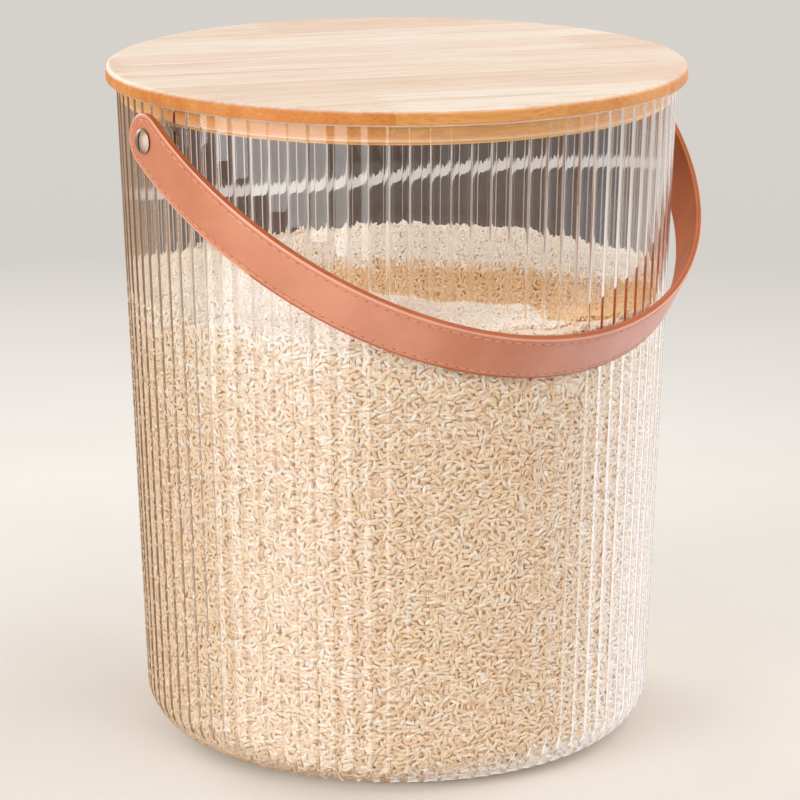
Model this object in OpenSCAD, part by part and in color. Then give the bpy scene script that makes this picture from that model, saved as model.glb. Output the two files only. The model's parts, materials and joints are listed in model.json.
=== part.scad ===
// Round storage bin for rice: a clear drum, a lift-off wooden lid with a seal,
// and a leather carrying strap that swings on two side screws.
// The origin is the centre of the base, +Z is up and the strap's pivot runs along X.

/* [Drum] */
// Height of the drum without its lid
drum_h = 293; // [260:1:330]
// Outside diameter of the drum at its top edge
drum_top_d = 246; // [244:1:250]
// Outside diameter that the straight wall would reach at the base
drum_base_d = 227; // [215:1:235]
// Thickness of the wall and of the floor
wall_t = 3; // [2:0.5:3.5]
// Outside radius of the corner between wall and floor
corner_r = 20; // [12:1:26]

/* [Lid] */
// Diameter of the lid's rim
lid_d = 255; // [252:1:258]
// Thickness of the rim that lies on the drum's edge
rim_t = 7; // [5:0.5:10]
// Radius that rounds the rim's upper edge
rim_top_r = 2.4; // [1:0.2:3]
// Radius that rounds the rim's lower edge
rim_low_r = 1.6; // [1:0.2:3]
// Diameter of the plug that sits inside the drum
plug_d = 234; // [230:1:235]
// Depth of the plug under the rim
plug_h = 9; // [7:0.5:10]
// Turn of the staves about the lid's centre
stave_turn = -20; // [-45:1:45]

/* [Seal] */
// Gap between the seal's lip and the drum's wall
seal_gap = 0.3; // [0.2:0.1:1]
// Height of the seal's lip
seal_h = 2.4; // [2:0.2:4]
// Depth of the groove that holds the seal
groove_d = 2; // [1:0.5:3]

/* [Strap] */
// Width of the strap
strap_w = 23; // [18:1:23]
// Thickness of the leather that faces outwards
face_t = 1.6; // [1:0.1:1.8]
// Thickness of the leather behind it
backing_t = 1.4; // [1:0.1:1.6]
// Height of the pivot above the base
pivot_z = 278.5; // [276:0.5:279]
// Half the strap's outside width at the pivot
strap_half_w = 132; // [131.5:0.5:135]
// Reach of the strap from the pivot to the outside of its bow
strap_reach = 155; // [155:0.5:165]
// Angle at which the strap hangs below level
hang_angle = 33.8; // [20:0.1:33.8]
// Distance of the seams from the strap's edges
seam_inset = 2.6; // [2:0.2:4]
// Width of the sewing thread
thread_w = 0.7; // [0.5:0.1:1]

/* [Fittings] */
// Diameter of the screw's shank
shank_d = 5; // [4:0.5:6]
// Running clearance between the shank and the strap's hole, on the radius
shank_fit = 0.08; // [0.02:0.02:0.1]
// Diameter of the screw's domed head
head_d = 10.6; // [9:0.2:12]
// Height of the screw's head
head_h = 2.2; // [1.6:0.2:3]
// Diameter of the spacer bush between drum and strap
bush_d = 12; // [10:0.5:14]
// Diameter of the soft washer inside the drum
washer_d = 10; // [8:0.5:10]
// Diameter of the cap nut inside the drum
nut_d = 8.6; // [8:0.2:9]
// Free play on each side of the strap's end
side_play = 0.4; // [0.3:0.1:0.6]

/* [Rice] */
// Height of the rice where it meets the wall
rice_h = 206; // [40:1:230]
// Depth of the hollow in the middle of the rice
rice_dip = 16; // [4:1:24]
// Gap between the rice's outline and the drum
rice_gap = 0.3; // [0.2:0.1:1]

/* [Hidden] */
$fn = 64;

CLEAR = [0.86, 0.88, 0.88, 0.35];
GRAIN = [0.90, 0.80, 0.66];
WOOD_PALE = [0.93, 0.82, 0.68];
WOOD_WARM = [0.90, 0.75, 0.58];
SILICONE = [0.92, 0.90, 0.87];
LEATHER = [0.80, 0.45, 0.33];
LEATHER_BACK = [0.62, 0.33, 0.20];
THREAD = [0.88, 0.58, 0.44];
STEEL = [0.78, 0.77, 0.74];
NYLON = [0.85, 0.83, 0.80];

lean = atan((drum_top_d - drum_base_d) / 2 / drum_h);
total_h = drum_h + rim_t;
stave_count = 6;
stave_w = lid_d / stave_count;
plug_z = drum_h - plug_h;
seal_z = plug_z + 1;
strap_t = face_t + backing_t;
bow_steps = 48;
slip = 1;
bore_d = shank_d + 2 * shank_fit;
shank_start = plug_d / 2 - 3;
nut_seat = plug_d / 2 + 1;

// Outside radius of the drum's straight wall at height z
function wall_r(z) = drum_base_d / 2 + z * tan(lean);

// Radius of the same wall after an inset measured square to it
function inset_r(z, inset) = wall_r(z) - inset / cos(lean);

// Half outline of the drum, shrunk by an inset and cut off at height top
module drum_outline(inset, top) {
    corner_x = inset_r(corner_r, corner_r);
    bend_r = corner_r - inset;
    tangent_z = corner_r - bend_r * sin(lean);
    polygon([
        [0, tangent_z],
        [corner_x + bend_r * cos(lean), tangent_z],
        [inset_r(top, inset), top],
        [0, top]
    ]);
    translate([0, inset])
        square([corner_x, corner_r]);
    translate([corner_x, corner_r])
        circle(bend_r);
}

module drum_body(inset, top) {
    rotate_extrude($fn = 180)
        drum_outline(inset, top);
}

// A round bar along X, from one distance to another on the given side (-1 left, 1 right)
module side_bar(side, from, to, d) {
    translate([side * from, 0, pivot_z])
        rotate([0, side * 90, 0])
            cylinder(h = to - from, d = d);
}

module drum() {
    color(CLEAR)
        difference() {
            drum_body(0, drum_h);
            drum_body(wall_t, drum_h + slip);
            for (side = [-1, 1])
                side_bar(side, shank_start, lid_d / 2, bore_d);
        }
}

module rice_fill() {
    inset = wall_t + rice_gap;
    level_r = inset_r(rice_h, inset);
    dish_r = (pow(level_r, 2) + pow(rice_dip, 2)) / (2 * rice_dip);
    color(GRAIN)
        rotate_extrude($fn = 180)
            difference() {
                drum_outline(inset, rice_h);
                translate([0, rice_h - rice_dip + dish_r])
                    circle(dish_r, $fn = 360);
            }
}

// The whole lid in wood: rim with rounded edges, plug, and groove for the seal
module lid_blank() {
    rim_r = lid_d / 2;
    rotate_extrude($fn = 180)
        difference() {
            union() {
                translate([0, plug_z])
                    square([plug_d / 2, plug_h + slip]);
                translate([0, drum_h])
                    square([rim_r - rim_top_r, rim_t]);
                translate([0, drum_h])
                    square([rim_r - rim_low_r, rim_t - rim_top_r]);
                translate([0, drum_h + rim_low_r])
                    square([rim_r, rim_t - rim_low_r - rim_top_r]);
                translate([rim_r - rim_low_r, drum_h + rim_low_r])
                    circle(rim_low_r);
                translate([rim_r - rim_top_r, total_h - rim_top_r])
                    circle(rim_top_r);
            }
            translate([plug_d / 2 - groove_d, seal_z])
                square([groove_d + slip, seal_h]);
        }
}

module lid_stave(index) {
    edge_y = (index - 1 - stave_count / 2) * stave_w;
    tone = index % 2 == 0 ? WOOD_WARM : WOOD_PALE;
    color(tone)
        intersection() {
            lid_blank();
            rotate([0, 0, stave_turn])
                translate([-lid_d, edge_y, plug_z - slip])
                    cube([2 * lid_d, stave_w, total_h]);
        }
}

// Silicone ring: a body in the groove and a thin lip that reaches for the drum's wall
module lid_seal() {
    lip_r = inset_r(seal_z, wall_t) - seal_gap;
    color(SILICONE)
        rotate_extrude($fn = 180)
            polygon([
                [plug_d / 2 - groove_d, seal_z],
                [plug_d / 2 + 0.4, seal_z],
                [lip_r, seal_z + seal_h * 0.3],
                [lip_r, seal_z + seal_h * 0.6],
                [plug_d / 2 + 0.4, seal_z + seal_h],
                [plug_d / 2 - groove_d, seal_z + seal_h]
            ]);
}

// Half-ellipse of the strap's bow, at a depth below the leather's outer face
function bow(depth) = [
    for (i = [0 : bow_steps])
        let (a = 180 * i / bow_steps)
        [(strap_half_w - depth) * cos(a), -(strap_reach - depth) * sin(a)]
];

// Flat ribbon outline between two depths, with straight ends past the pivots
module ribbon(outer, inner) {
    outer_x = strap_half_w - outer;
    inner_x = strap_half_w - inner;
    inner_bow = bow(inner);
    polygon(concat(
        [[outer_x, strap_w / 2]],
        bow(outer),
        [[-outer_x, strap_w / 2], [-inner_x, strap_w / 2]],
        [for (i = [bow_steps : -1 : 0]) inner_bow[i]],
        [[inner_x, strap_w / 2]]
    ));
}

// Places the strap's own plane, with its bow towards -Y, at the hanging angle
module at_pivot() {
    translate([0, 0, pivot_z])
        rotate([hang_angle, 0, 0])
            children();
}

// Side view of the strap: a long bar with round ends
module strap_side(w) {
    rotate([0, 90, 0])
        cylinder(h = 4 * strap_half_w, d = w, center = true);
    translate([0, -strap_reach, 0])
        cube([4 * strap_half_w, 2 * strap_reach, w], center = true);
}

module strap_layer(outer, inner) {
    difference() {
        intersection() {
            linear_extrude(strap_w, center = true)
                ribbon(outer, inner);
            strap_side(strap_w);
        }
        rotate([0, 90, 0])
            cylinder(h = 4 * strap_half_w, d = bore_d, center = true);
    }
}

module strap_face() {
    color(LEATHER)
        at_pivot()
            strap_layer(0, face_t);
}

module strap_backing() {
    color(LEATHER_BACK)
        at_pivot()
            strap_layer(face_t, strap_t);
}

// One row of sewing thread on the outer face, above (1) or below (-1) the strap's middle
module strap_seam(row) {
    thread_rise = 0.35;
    seam_z = row * (strap_w / 2 - seam_inset);
    color(THREAD)
        at_pivot()
            difference() {
                translate([0, 0, seam_z])
                    linear_extrude(thread_w, center = true)
                        ribbon(-thread_rise, 0);
                translate([0, strap_w / 2, 0])
                    cube([4 * strap_half_w, strap_w, 2 * strap_w], center = true);
            }
}

// Turns a half outline about the pivot's axis, starting at a distance from the centre
module side_turned(side, from) {
    translate([side * from, 0, pivot_z])
        rotate([0, side * 90, 0])
            rotate_extrude()
                children();
}

// Half outline of a low dome that stands on a level line
module dome_outline(d, h) {
    dome_r = (pow(d / 2, 2) + pow(h, 2)) / (2 * h);
    intersection() {
        square([d / 2, h]);
        translate([0, h - dome_r])
            circle(dome_r);
    }
}

// Screw with a low domed head outside the strap
module screw(side) {
    shank_l = strap_half_w + side_play - shank_start;
    color(STEEL)
        side_turned(side, shank_start) {
            square([shank_d / 2, shank_l]);
            translate([0, shank_l])
                dome_outline(head_d, head_h);
        }
}

// Spacer bush that keeps the strap clear of the lid's rim, shaped to the drum's wall
module bush(side) {
    color(NYLON)
        difference() {
            side_bar(side, nut_seat, strap_half_w - strap_t - side_play, bush_d);
            side_bar(side, shank_start, lid_d, bore_d);
            drum_body(0, drum_h);
        }
}

// Soft washer that seals the screw hole inside the drum
module washer(side) {
    color(SILICONE)
        difference() {
            intersection() {
                side_bar(side, nut_seat, wall_r(pivot_z), washer_d);
                drum_body(wall_t, drum_h);
            }
            side_bar(side, shank_start, lid_d, bore_d);
        }
}

// Domed cap nut inside the drum, closed over the shank's end
module nut(side) {
    nut_h = 5;
    cap_t = nut_seat - shank_start;
    color(STEEL)
        side_turned(side, nut_seat - nut_h)
            difference() {
                translate([0, nut_h])
                    mirror([0, 1])
                        intersection() {
                            square([nut_d / 2, nut_h]);
                            translate([0, -slip])
                                circle(nut_h + slip);
                        }
                translate([0, nut_h - cap_t - shank_fit])
                    square([bore_d / 2, nut_h]);
            }
}

drum();
rice_fill();
lid_stave(1);  // lid_stave_1
lid_stave(2);  // lid_stave_2
lid_stave(3);  // lid_stave_3
lid_stave(4);  // lid_stave_4
lid_stave(5);  // lid_stave_5
lid_stave(6);  // lid_stave_6
lid_seal();
strap_face();
strap_backing();
strap_seam(1);  // strap_seam_upper
strap_seam(-1);  // strap_seam_lower
screw(-1);  // screw_left
bush(-1);  // bush_left
washer(-1);  // washer_left
nut(-1);  // nut_left
screw(1);  // screw_right
bush(1);  // bush_right
washer(1);  // washer_right
nut(1);  // nut_right
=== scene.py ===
import json
import math

import bpy
import numpy as np
from mathutils import Matrix, Vector

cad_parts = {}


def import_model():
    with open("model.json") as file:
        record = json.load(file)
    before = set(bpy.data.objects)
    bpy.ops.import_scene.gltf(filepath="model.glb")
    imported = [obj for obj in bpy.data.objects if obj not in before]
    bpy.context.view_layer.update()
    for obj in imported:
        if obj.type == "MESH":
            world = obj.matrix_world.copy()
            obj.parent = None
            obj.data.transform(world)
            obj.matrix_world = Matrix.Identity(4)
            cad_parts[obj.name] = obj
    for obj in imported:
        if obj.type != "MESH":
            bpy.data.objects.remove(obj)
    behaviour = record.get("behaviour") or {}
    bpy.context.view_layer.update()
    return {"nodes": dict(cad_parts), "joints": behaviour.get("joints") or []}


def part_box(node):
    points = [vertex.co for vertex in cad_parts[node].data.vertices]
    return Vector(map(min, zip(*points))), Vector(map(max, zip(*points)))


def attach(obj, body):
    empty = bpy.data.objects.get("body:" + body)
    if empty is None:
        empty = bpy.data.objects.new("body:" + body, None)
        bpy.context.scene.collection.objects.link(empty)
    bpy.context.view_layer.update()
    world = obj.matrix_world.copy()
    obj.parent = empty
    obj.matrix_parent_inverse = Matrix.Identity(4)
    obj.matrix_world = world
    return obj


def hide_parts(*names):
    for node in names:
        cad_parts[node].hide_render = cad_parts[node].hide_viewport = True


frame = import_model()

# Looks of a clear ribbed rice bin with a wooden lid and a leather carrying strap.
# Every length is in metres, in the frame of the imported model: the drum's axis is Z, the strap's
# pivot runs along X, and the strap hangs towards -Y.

MM = 0.001

# Drum
DRUM_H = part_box("drum")[1].z
DRUM_TOP_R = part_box("drum")[1].x
DRUM_BASE_R = 113.5 * MM
WALL_T = 3.0 * MM
CORNER_R = 20.0 * MM
LEAN = math.atan((DRUM_TOP_R - DRUM_BASE_R) / DRUM_H)
RIB_COUNT = 90
RIB_TURN = math.radians(-0.2)
FLUTE_DEPTH = 0.36 * MM
RIDGE_H = 0.10 * MM
RIDGE_SHARE = 0.055
INNER_SHARE = 0.86
INNER_INSET = 2.2 * MM
LIP_R = 0.6 * MM
FLOOR_SHARES = (0.3, 0.6, 0.85, 0.995)
INNER_POINT = (0, 0, 0.1)
# A ray that has bounced more often than this inside the wall is let out of it.
TRAPPED_DEPTH = 3.5
CONTACT_Z = 9.0 * MM

# Rice
# The gap to the CAD wall's inner face is negative, because the wall shown here is thinner.
RICE_GAP = -0.55 * MM
RICE_LEVEL = 201.6 * MM
GRAIN_L = 4.8 * MM
GRAIN_W = 1.75 * MM
GRAIN_T = 1.5 * MM
GRAIN_SPACING = 2.4 * MM
GRAIN_LIMIT = WALL_T - 0.65 * MM
ROW_SHARE = 0.866
SITE_JITTER = 0.42
WALL_LAYERS = (0.55 * MM, 1.35 * MM)
TOP_LAYERS = (0.0, 1.1 * MM)
RICE_SEED = 7
SECTORS = "abc"
BED_DEPTH = 1.7 * MM
BED_COLUMNS = 144
# The scooped hollow and the patch of painted shade beside it: middle and half size, each to the right and
# away.
HOLLOW = (0.036, 0.018, 0.082, 0.042)
PAINTED_SHADE_PATCH = (0.087, -0.050, 0.026, 0.044)
HOLLOW_SLANT = 0.35
SLANT_RIGHT = 0.03
HOLLOW_DEPTH = 0.018
# Where the painted shade is stronger than this, the grains on the rice's top are tan.
PAINTED_SHADE_EDGE = 0.42
PALE_BELOW_TOP_REACH = 14 * MM
RIM_START_R = 100 * MM
RIM_DROP = 40 * MM
PIECE_FACES = 190000
# Tint, colour, colour of its darker bran, and share of the grains away from the top.
RICE_TINTS = (
    ("cream", (247, 227, 203), (239, 209, 176), 0.44),
    ("tan", (241, 213, 183), (229, 193, 158), 0.28),
    ("pale", (250, 238, 222), (245, 225, 200), 0.12),
    ("gold", (248, 223, 188), (238, 202, 160), 0.11),
    ("husk", (234, 202, 166), (216, 178, 142), 0.05),
    # White and amber have no share of their own: white is painted light on the rice's top and also among the
    # paler grains below it, amber is painted shade in the hollow.
    ("white", (255, 250, 242), (250, 240, 226), 0.0),
    ("amber", (243, 209, 162), (228, 187, 138), 0.0),
)
CREAM, _, PALE, GOLD, HUSK, WHITE, AMBER = range(len(RICE_TINTS))

# Strap
PIVOT_Z = frame["joints"][1]["pos_m"][2]
STRAP_HALF_W = 132.0 * MM
STRAP_REACH = 155.0 * MM
STRAP_W = 23.0 * MM
FACE_T = 1.6 * MM
STRAP_T = 3.0 * MM
HANG_ANGLE = math.radians(33.8)
SEAM_INSET = 2.6 * MM
GROOVE = 0.16 * MM
STITCH_PITCH = 4.6 * MM
STITCH_L = 3.3 * MM
STITCH_RISE = 0.10 * MM
STITCH_DIVE = 0.30 * MM
THREAD_R = 0.27 * MM
NEEDLE_R = 0.36 * MM
NEEDLE_DEPTHS = (0.12 * MM, 0.5 * MM)
# Up to here from its first end, the strap's lower lip keeps its painted highlight.
LIP_HIGHLIGHT_END = 75 * MM
HOLE_R = 2.58 * MM
HOLE_REACH = 0.2

# Fittings
HEAD_R = 5.3 * MM
HEAD_H = 2.2 * MM
HEAD_EDGE = 0.45 * MM
SLOT_HALF = (1.6 * MM, 0.55 * MM, 7.0 * MM)
SIDE_PLAY = 0.4 * MM
SHANK_R = 2.5 * MM
SHANK_START = 114.0 * MM

# Lid
STAVE_TURN = math.radians(-20)
PLUG_TOP = DRUM_H + 0.2 * MM
BLOCK_L = 0.21
BLOCK_START = 0.0725
BLOCK_STAGGER = 0.8 * BLOCK_L
FINGER_W = 0.0045
FINGER_SLOPE = 1.6

# Studio, with bearings in degrees to the right of the camera's side
PANEL_BEARINGS = (-80, -21)
PANEL_GLOW = (3.3, 5.0)
SIDE_BEARINGS = (104, 140)
SIDE_GLOW = ((1.35, 1.85, 2.4, 1), (0.9, 0.8, 0.72, 1))
COOL_BEARINGS = (75, 102)
COOL_GLOW = (0.45, 0.85, 1.2, 1)
BACK_BEARINGS = (138, 184)
BACK_GLOW = 1.2
# A glowing strip behind the bin: painted light, seen only through the clear wall.
BAND_BEHIND = 0.32
BAND_Z = 0.185
BAND_LIFT = 10.0 * MM
BAND_HALF = 2.9 * MM
BAND_W = 0.36
BAND_EASE = 0.07
FLOOR_R = 1.6

# Camera
CAMERA_AZIMUTH = math.radians(-36.7)
CAMERA_ELEVATION = math.radians(14.77)
MIDDLE = Vector((0, 0, 0.15))
CAMERA_DISTANCE = 1.53
FRAME_PX = 800
FOCAL_PX = 3402
CENTRE_PX = (396.88, 390.4)
SENSOR_MM = 36.0
RIGHT_X, RIGHT_Y = math.cos(CAMERA_AZIMUTH), math.sin(CAMERA_AZIMUTH)
TO_RIGHT = Vector((RIGHT_X, RIGHT_Y, 0))
AWAY = Vector((-RIGHT_Y, RIGHT_X, 0))
UP = Vector((0, 0, 1))


# ---------------- nodes and meshes

def srgb(red, green, blue):
    """A colour given in 0 to 255 steps, as the linear RGBA that a shader takes."""
    def linear(step):
        share = step / 255
        return share / 12.92 if share <= 0.04045 else ((share + 0.055) / 1.055) ** 2.4
    return (linear(red), linear(green), linear(blue), 1.0)


def grey(level):
    return (level, level, level, 1)


class Nodes:
    """Short calls that add and join the nodes of a material or of the world."""

    def __init__(self, tree):
        self.tree = tree
        tree.nodes.clear()

    def add(self, kind, **settings):
        node = self.tree.nodes.new(kind)
        for name, value in settings.items():
            setattr(node, name, value)
        return node

    def feed(self, socket, value):
        """Links an output to the socket, or writes a plain value on it."""
        if isinstance(value, bpy.types.NodeSocket):
            self.tree.links.new(value, socket)
        else:
            socket.default_value = value

    def node(self, kind, inputs, output=0, **settings):
        """Adds a node, feeds its inputs from a list or a dictionary, and gives one of its outputs."""
        node = self.add(kind, **settings)
        for socket, value in inputs.items() if isinstance(inputs, dict) else enumerate(inputs):
            self.feed(node.inputs[socket], value)
        return node.outputs[output]

    def math(self, operation, *values, clamp=False):
        return self.node("ShaderNodeMath", values, operation=operation, use_clamp=clamp)

    def vector(self, operation, *values, output="Vector"):
        return self.node("ShaderNodeVectorMath", values, output, operation=operation)

    def from_z(self, place):
        """Distance of a place from the Z axis."""
        return self.vector("LENGTH", self.vector("MULTIPLY", place, (1, 1, 0)), output="Value")

    def split(self, vector):
        node = self.add("ShaderNodeSeparateXYZ")
        self.feed(node.inputs[0], vector)
        return node.outputs

    def noise(self, vector, scale, detail=2.0, roughness=0.5, distortion=0.0):
        return self.node("ShaderNodeTexNoise", {"Vector": vector, "Scale": scale, "Detail": detail,
                                                "Roughness": roughness, "Distortion": distortion}, "Fac")

    def ramp(self, factor, *stops):
        """A colour ramp through (place, colour) stops."""
        node = self.add("ShaderNodeValToRGB")
        self.feed(node.inputs[0], factor)
        elements = node.color_ramp.elements
        while len(elements) < len(stops):
            elements.new(0.5)
        for element, (place, colour) in zip(elements, stops):
            element.position = place
            element.color = colour
        return node.outputs[0]

    def fade(self, value, start, end):
        """0 up to the start, and 1 from the end on."""
        return self.ramp(value, (start, grey(0)), (end, grey(1)))

    def mix(self, factor, first, second, blend="MIX"):
        return self.node("ShaderNodeMix", {0: factor, 6: first, 7: second}, 2, data_type="RGBA",
                         blend_type=blend)

    def bump(self, height, distance, strength=1.0, normal=None):
        inputs = {"Distance": distance, "Strength": strength, "Height": height}
        if normal is not None:
            inputs["Normal"] = normal
        return self.node("ShaderNodeBump", inputs)

    def principled(self, **inputs):
        inputs = {name.replace("_", " "): value for name, value in inputs.items()}
        return self.node("ShaderNodeBsdfPrincipled", inputs)

    def mix_shader(self, factor, first, second):
        return self.node("ShaderNodeMixShader", (factor, first, second))

    def finish(self, surface, kind="ShaderNodeOutputMaterial"):
        self.feed(self.add(kind).inputs["Surface"], surface)

    def object_place(self):
        return self.add("ShaderNodeTexCoord").outputs["Object"]

    def see_through(self):
        return self.add("ShaderNodeBsdfTransparent").outputs[0]


def new_material(name):
    """An empty material and the calls that fill it."""
    material = bpy.data.materials.new(name)
    material.use_nodes = True
    return material, Nodes(material.node_tree)


def linked(name, data):
    """A new object of the scene with the given data."""
    new_object = bpy.data.objects.new(name, data)
    bpy.context.scene.collection.objects.link(new_object)
    return new_object


def add_object(name, mesh, materials):
    """Links a mesh as a smooth object that wears the given materials."""
    for material in materials:
        mesh.materials.append(material)
    mesh.shade_smooth()
    mesh.validate()
    return linked(name, mesh)


def mesh_from_lists(name, points, faces):
    mesh = bpy.data.meshes.new(name)
    mesh.from_pydata([tuple(p) for p in points], [], faces)
    mesh.update()
    return mesh


def mesh_from_arrays(name, points, faces):
    """A mesh from an array of points and an array of faces that all have the same number of corners."""
    mesh = bpy.data.meshes.new(name)
    count, corners = faces.shape
    mesh.vertices.add(len(points))
    mesh.vertices.foreach_set("co", points.astype(np.float32).ravel())
    mesh.loops.add(count * corners)
    mesh.loops.foreach_set("vertex_index", faces.astype(np.int32).ravel())
    mesh.polygons.add(count)
    mesh.polygons.foreach_set("loop_start", np.arange(0, count * corners, corners, dtype=np.int32))
    mesh.update(calc_edges=True)
    return mesh


def circle(count):
    """Cosine and sine of evenly spaced angles."""
    angles = [2 * math.pi * i / count for i in range(count)]
    return [(math.cos(angle), math.sin(angle)) for angle in angles]


def around(count):
    """Each number of a closed ring together with the next one."""
    return [(i, (i + 1) % count) for i in range(count)]


def ring_points(radius, angles, height):
    """Points about the Z axis, where radius and height are numbers or arrays."""
    columns = np.broadcast_arrays(radius * np.cos(angles), radius * np.sin(angles), height)
    return np.stack(columns, axis=1)


def stacked_mesh(name, rings, start_z, end_z):
    """A mesh of stacked rings of points, closed at both ends by a point on the Z axis."""
    columns = len(rings[0])
    start, last = len(rings) * columns, (len(rings) - 1) * columns
    faces = []
    for low in range(0, last, columns):
        high = low + columns
        faces += [(low + i, low + j, high + j, high + i) for i, j in around(columns)]
    for i, j in around(columns):
        faces.append((start, j, i))
        faces.append((start + 1, last + i, last + j))
    return mesh_from_lists(name, np.concatenate([*rings, [(0, 0, start_z), (0, 0, end_z)]]), faces)


def turned_mesh(name, outline, columns):
    """A solid of revolution about Z from (radius, height) points, whose first and last are on the axis."""
    (_, start_z), *sides, (_, end_z) = outline
    rings = [[(r * cos, r * sin, z) for cos, sin in circle(columns)] for r, z in sides]
    return stacked_mesh(name, rings, start_z, end_z)


def on_pivot(mesh, side):
    """Lays a mesh that was turned about Z along the strap's pivot, towards one side."""
    mesh.transform(Matrix.Translation((0, 0, PIVOT_Z)) @ Matrix.Rotation(side * math.pi / 2, 4, "Y"))
    return mesh


def cut(piece, cutter):
    """Takes the cutter's shape out of the piece and removes the cutter."""
    bpy.context.view_layer.update()
    modifier = piece.modifiers.new("cut", "BOOLEAN")
    modifier.operation = "DIFFERENCE"
    modifier.solver = "EXACT"
    modifier.object = cutter
    depsgraph = bpy.context.evaluated_depsgraph_get()
    result = bpy.data.meshes.new_from_object(piece.evaluated_get(depsgraph), depsgraph=depsgraph)
    piece.modifiers.clear()
    piece.data = result
    bpy.data.objects.remove(cutter)


def dress(material, *nodes):
    """Gives CAD nodes a better material in the slots they have."""
    for node in nodes:
        for material_slot in frame["nodes"][node].material_slots:
            material_slot.material = material


# ---------------- materials

def clear_plastic():
    """Clear moulded plastic that lets the lamps through, with a trace of unevenness.

    Light that has been reflected many times inside the wall gets out of it, instead of ending black, and
    light in the bottom corner reaches the rice that lies on it."""
    material, g = new_material("clear_plastic")
    place = g.object_place()
    waves = g.noise(g.vector("MULTIPLY", place, (1, 1, 0.35)), 28, detail=2)
    normal = g.bump(waves, 0.0006, strength=0.10)
    glass = g.principled(Base_Color=(0.985, 0.99, 0.99, 1), Roughness=0.0, IOR=1.47,
                         Transmission_Weight=1.0, Normal=normal)
    path = g.add("ShaderNodeLightPath").outputs
    lets_light_by = g.math("MAXIMUM", path["Is Shadow Ray"], path["Is Diffuse Ray"])
    geometry = g.add("ShaderNodeNewGeometry").outputs
    outward = g.vector("SUBTRACT", place, INNER_POINT)
    facing = g.vector("DOT_PRODUCT", geometry["True Normal"], outward, output="Value")
    inner = g.math("LESS_THAN", facing, 0.0)
    trapped = g.math("MULTIPLY", inner, g.math("GREATER_THAN", path["Ray Depth"], TRAPPED_DEPTH))
    in_corner = g.math("LESS_THAN", g.split(place)["Z"], CONTACT_Z)
    touches = g.math("MULTIPLY", in_corner, geometry["Backfacing"])
    touches = g.math("MULTIPLY", g.math("SUBTRACT", 1.0, inner), touches)
    opened = g.math("MAXIMUM", lets_light_by, g.math("MAXIMUM", trapped, touches))
    g.finish(g.mix_shader(opened, glass, g.see_through()))
    return material


def rice_tint(name, colour, dark, rim=None):
    """Husked rice: a matt grain with paler and darker stretches of bran, and a rim colour near the top."""
    material, g = new_material(name)
    place = g.object_place()
    bran = g.noise(place, 420, detail=2)
    shade = g.mix(g.math("SUBTRACT", bran, 0.35, clamp=True), colour, dark)
    if rim:
        at_wall = g.math("GREATER_THAN", g.from_z(place), RIM_START_R)
        near_top = g.fade(g.split(place)["Z"], RICE_LEVEL - RIM_DROP, RICE_LEVEL)
        shade = g.mix(g.math("MULTIPLY", at_wall, near_top), shade, rim)
    normal = g.bump(g.noise(place, 1500, detail=1), 0.00008, strength=0.5)
    g.finish(g.principled(Base_Color=shade, Roughness=0.55, Specular_IOR_Level=0.25, Normal=normal))
    return material


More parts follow.
